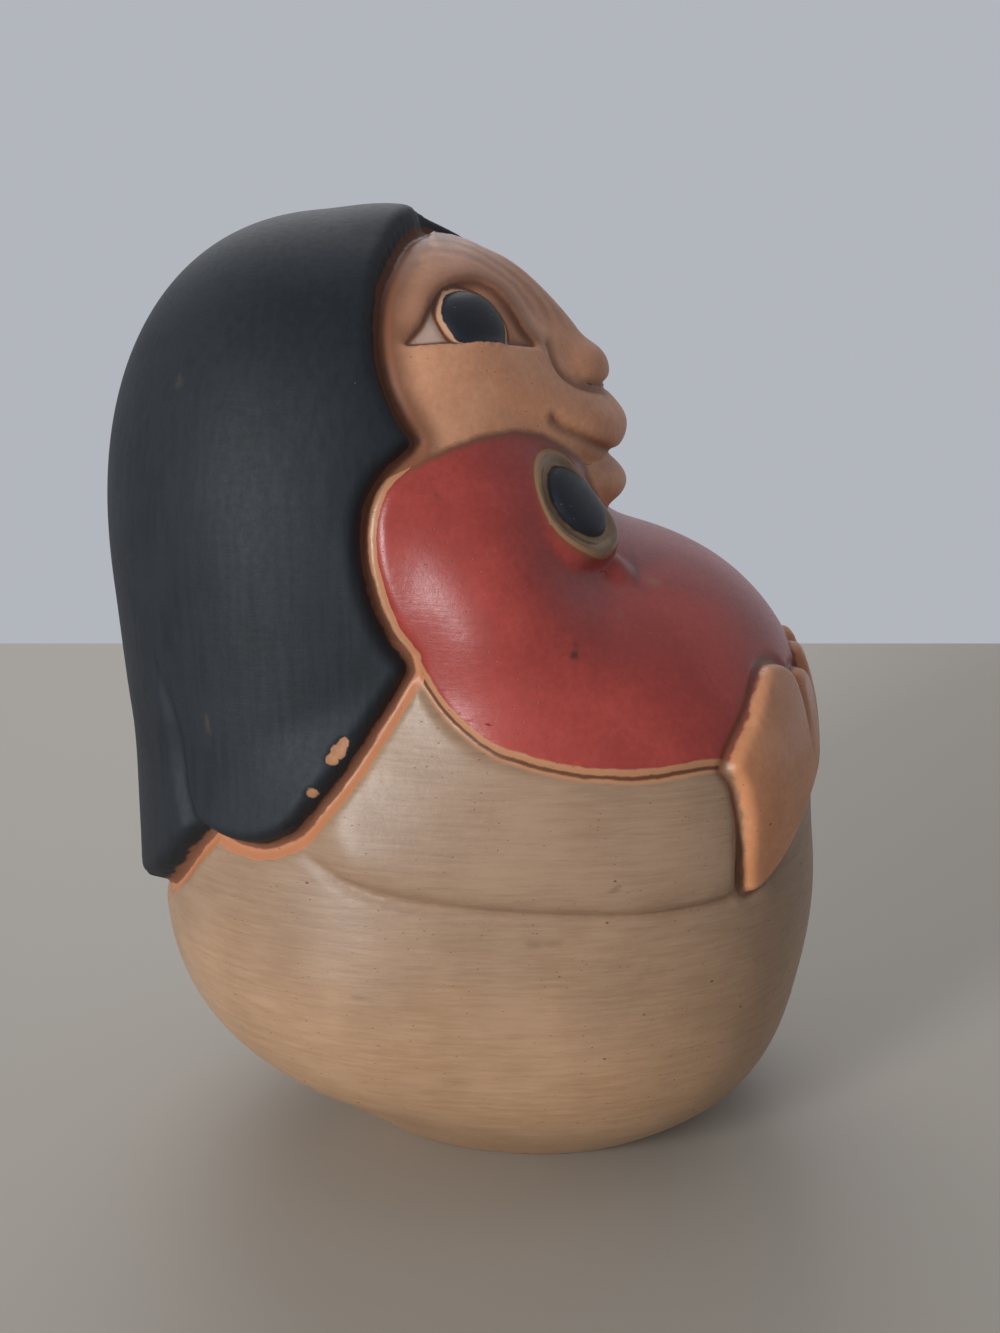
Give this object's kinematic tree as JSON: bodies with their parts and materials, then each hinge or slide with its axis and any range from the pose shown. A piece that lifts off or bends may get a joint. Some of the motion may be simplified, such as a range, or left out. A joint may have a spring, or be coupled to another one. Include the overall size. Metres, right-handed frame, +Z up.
{
  "type": "ceramic woman figurine",
  "caption": "Small fired-clay figurine of a seated long-haired woman with upturned face, hugging a large round red bundle; stands on its flat underside.",
  "frame": {"origin": "Centre of the bounding box, at the level of the flat underside.", "axes": "+Z is up. The woman faces -Y. +X is her left-hand side; the side with the bundle's seed is -X."},
  "size_m": [0.0886, 0.0966, 0.126],
  "materials": {
    "fired_clay": "burnished slip, satin"
  },
  "bodies": {
    "root": {"figurine": "fired_clay"}
  },
  "joints": []
}
